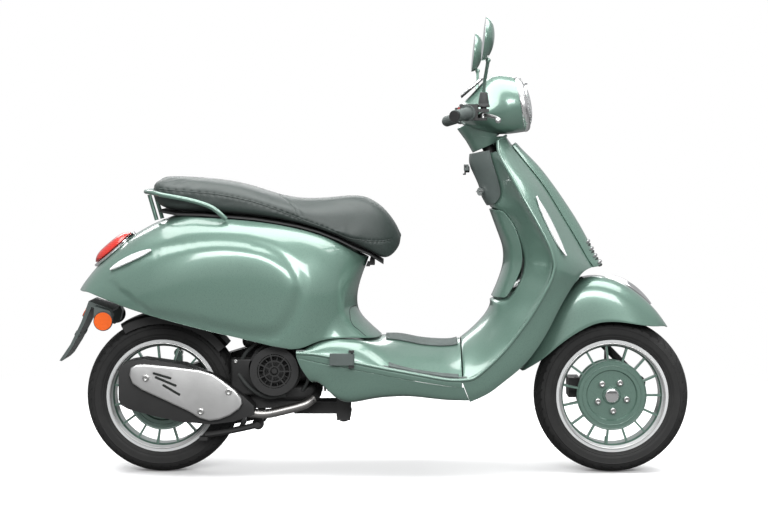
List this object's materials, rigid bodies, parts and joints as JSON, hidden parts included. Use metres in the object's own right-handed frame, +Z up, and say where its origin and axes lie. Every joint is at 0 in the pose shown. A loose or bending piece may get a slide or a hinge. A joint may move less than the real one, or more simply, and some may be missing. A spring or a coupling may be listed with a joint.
{
  "type": "moped scooter",
  "caption": "Classic step-through scooter with a pressed body, long seat, round headlamp, single-sided suspension and a swinging engine unit.",
  "frame": {"origin": "on the ground at mid length, in the middle plane", "axes": "+X forward, +Y to the rider's left, +Z up"},
  "size_m": [1.8648, 0.748, 1.3317],
  "materials": {
    "green_paint": "glossy sage green metallic paint",
    "grey_plastic": "satin dark grey-green plastic",
    "black_plastic": "satin black moulded plastic",
    "red_plastic": "red switch cap",
    "grey_rubber": "dark grey-green ribbed rubber",
    "tyre_rubber": "black tyre rubber",
    "seat_cover": "dark grey-green grained seat cover",
    "chassis_paint": "satin black chassis paint",
    "chrome": "bright chrome",
    "clear_lens": "clear lens",
    "red_lens": "red lens",
    "amber_lens": "amber reflector",
    "cast_alloy": "cast alloy, dark",
    "brushed_alloy": "satin silver metal"
  },
  "bodies": {
    "chassis": {"rear_body": "green_paint", "floor_board": "green_paint", "leg_shield": "green_paint", "inner_shield": "green_paint", "column_cover": "grey_plastic", "horn_cover": "green_paint", "side_skirts": "green_paint", "floor_mats": "grey_rubber", "frame": "chassis_paint", "helmet_tub": "black_plastic", "fuel_tank": "black_plastic", "battery": "black_plastic", "grab_rail": "green_paint", "tail_lamp": "chrome", "tail_lens": "red_lens", "indicators": "clear_lens", "tail_mudguard": "grey_plastic", "reflectors": "amber_lens", "horn": "chassis_paint", "rear_shock_body": "chassis_paint"},
    "seat": {"seat_pan": "black_plastic", "seat_cushion": "seat_cover"},
    "glove_door": {"glove_door": "green_paint"},
    "bag_hook": {"bag_hook": "grey_plastic"},
    "ignition_lock": {"ignition_lock": "chrome"},
    "fuel_cap": {"fuel_cap": "black_plastic"},
    "peg_right": {"peg_right": "grey_plastic"},
    "peg_left": {"peg_left": "grey_plastic"},
    "steering": {"fork": "chassis_paint", "headset": "green_paint", "headlamp_ring": "chrome", "headlamp_lens": "clear_lens", "dash": "black_plastic", "handlebar": "cast_alloy", "left_grip": "grey_rubber", "switch_pods": "black_plastic", "mirror_stems": "chassis_paint", "front_fender": "green_paint"},
    "throttle_grip": {"throttle_grip": "grey_rubber"},
    "brake_lever_right": {"brake_lever_right": "brushed_alloy"},
    "brake_lever_left": {"brake_lever_left": "brushed_alloy"},
    "mirror_right": {"mirror_right": "green_paint"},
    "mirror_left": {"mirror_left": "green_paint"},
    "starter_button": {"starter_button": "black_plastic"},
    "kill_switch": {"kill_switch": "red_plastic"},
    "horn_button": {"horn_button": "black_plastic"},
    "turn_switch": {"turn_switch": "black_plastic"},
    "front_link": {"front_link": "cast_alloy"},
    "front_wheel": {"front_rim": "green_paint", "front_tyre": "tyre_rubber"},
    "engine": {"engine_case": "cast_alloy", "fan_cover": "black_plastic", "exhaust": "chassis_paint", "muffler_shield": "brushed_alloy", "rear_hugger": "black_plastic", "rear_shock_rod": "chrome"},
    "cooling_fan": {"cooling_fan": "black_plastic"},
    "centre_stand": {"centre_stand": "chassis_paint"},
    "rear_wheel": {"rear_rim": "green_paint", "rear_tyre": "tyre_rubber"}
  },
  "joints": [
    {"name": "steering", "type": "hinge", "parent": "chassis", "child": "steering", "pos_m": [0.337, 0, 0.968], "axis": [-0.4147, 0, 0.91], "range_deg": [-38, 38]},
    {"name": "front_suspension", "type": "hinge", "parent": "steering", "child": "front_link", "pos_m": [0.8, 0, 0.25], "axis": [0, 1, 0], "range_deg": [0, 23], "stiffness_Nm_per_rad": 250, "springref_deg": -20.05},
    {"name": "front_wheel", "type": "hinge", "parent": "front_link", "child": "front_wheel", "pos_m": [0.703, 0, 0.2294], "axis": [0, 1, 0], "continuous": true},
    {"name": "rear_suspension", "type": "hinge", "parent": "chassis", "child": "engine", "pos_m": [-0.093, 0, 0.174], "axis": [0, 1, 0], "range_deg": [0, 7], "stiffness_Nm_per_rad": 3600, "springref_deg": -9.74},
    {"name": "rear_wheel", "type": "hinge", "parent": "engine", "child": "rear_wheel", "pos_m": [-0.631, 0, 0.2294], "axis": [0, 1, 0], "continuous": true},
    {"name": "cooling_fan", "type": "hinge", "parent": "engine", "child": "cooling_fan", "pos_m": [-0.292, -0.12, 0.315], "axis": [0, 1, 0], "continuous": true},
    {"name": "centre_stand", "type": "hinge", "parent": "engine", "child": "centre_stand", "pos_m": [-0.345, 0, 0.15], "axis": [0, -1, 0], "range_deg": [0, 85], "stiffness_Nm_per_rad": 3, "springref_deg": -68.75},
    {"name": "seat", "type": "hinge", "parent": "chassis", "child": "seat", "pos_m": [-0.008, 0, 0.626], "axis": [0, 1, 0], "range_deg": [0, 65]},
    {"name": "glove_door", "type": "hinge", "parent": "chassis", "child": "glove_door", "pos_m": [0.35, 0, 0.523], "axis": [0, -1, 0], "range_deg": [0, 42]},
    {"name": "bag_hook", "type": "hinge", "parent": "chassis", "child": "bag_hook", "pos_m": [0.269, 0, 0.908], "axis": [0, 1, 0], "range_deg": [0, 80]},
    {"name": "ignition_key", "type": "hinge", "parent": "chassis", "child": "ignition_lock", "pos_m": [0.316, -0.046, 0.835], "axis": [-0.7878, -0.6159, 0], "range_deg": [0, 90]},
    {"name": "fuel_cap", "type": "hinge", "parent": "chassis", "child": "fuel_cap", "pos_m": [-0.165, 0, 0.66], "axis": [0, 0, 1], "range_deg": [0, 90]},
    {"name": "peg_right", "type": "hinge", "parent": "chassis", "child": "peg_right", "pos_m": [-0.064, -0.212, 0.357], "axis": [0, 0, 1], "range_deg": [0, 88]},
    {"name": "peg_left", "type": "hinge", "parent": "chassis", "child": "peg_left", "pos_m": [-0.064, 0.212, 0.357], "axis": [0, 0, -1], "range_deg": [0, 88]},
    {"name": "throttle", "type": "hinge", "parent": "steering", "child": "throttle_grip", "pos_m": [0.268, -0.235, 1.0635], "axis": [-0.3238, -0.9414, -0.0941], "range_deg": [0, 70], "stiffness_Nm_per_rad": 0.5, "springref_deg": -17.19},
    {"name": "brake_right", "type": "hinge", "parent": "steering", "child": "brake_lever_right", "pos_m": [0.314, -0.18, 1.058], "axis": [0, 0, -1], "range_deg": [0, 18], "stiffness_Nm_per_rad": 3, "springref_deg": -11.46},
    {"name": "brake_left", "type": "hinge", "parent": "steering", "child": "brake_lever_left", "pos_m": [0.314, 0.18, 1.058], "axis": [0, 0, 1], "range_deg": [0, 18], "stiffness_Nm_per_rad": 3, "springref_deg": -11.46},
    {"name": "mirror_right", "type": "hinge", "parent": "steering", "child": "mirror_right", "pos_m": [0.321, -0.3, 1.21], "axis": [0, 0, 1], "range_deg": [-20, 20]},
    {"name": "mirror_left", "type": "hinge", "parent": "steering", "child": "mirror_left", "pos_m": [0.321, 0.3, 1.21], "axis": [0, 0, 1], "range_deg": [-20, 20]},
    {"name": "starter_button", "type": "slide", "parent": "steering", "child": "starter_button", "axis": [1, 0, 0], "range_m": [0, 0.0025], "stiffness_N_per_m": 400, "springref_m": -0.001},
    {"name": "horn_button", "type": "slide", "parent": "steering", "child": "horn_button", "axis": [1, 0, 0], "range_m": [0, 0.0025], "stiffness_N_per_m": 400, "springref_m": -0.001},
    {"name": "kill_switch", "type": "slide", "parent": "steering", "child": "kill_switch", "axis": [0, 1, 0], "range_m": [0, 0.006]},
    {"name": "turn_switch", "type": "slide", "parent": "steering", "child": "turn_switch", "axis": [0, 1, 0], "range_m": [-0.004, 0.004]}
  ]
}
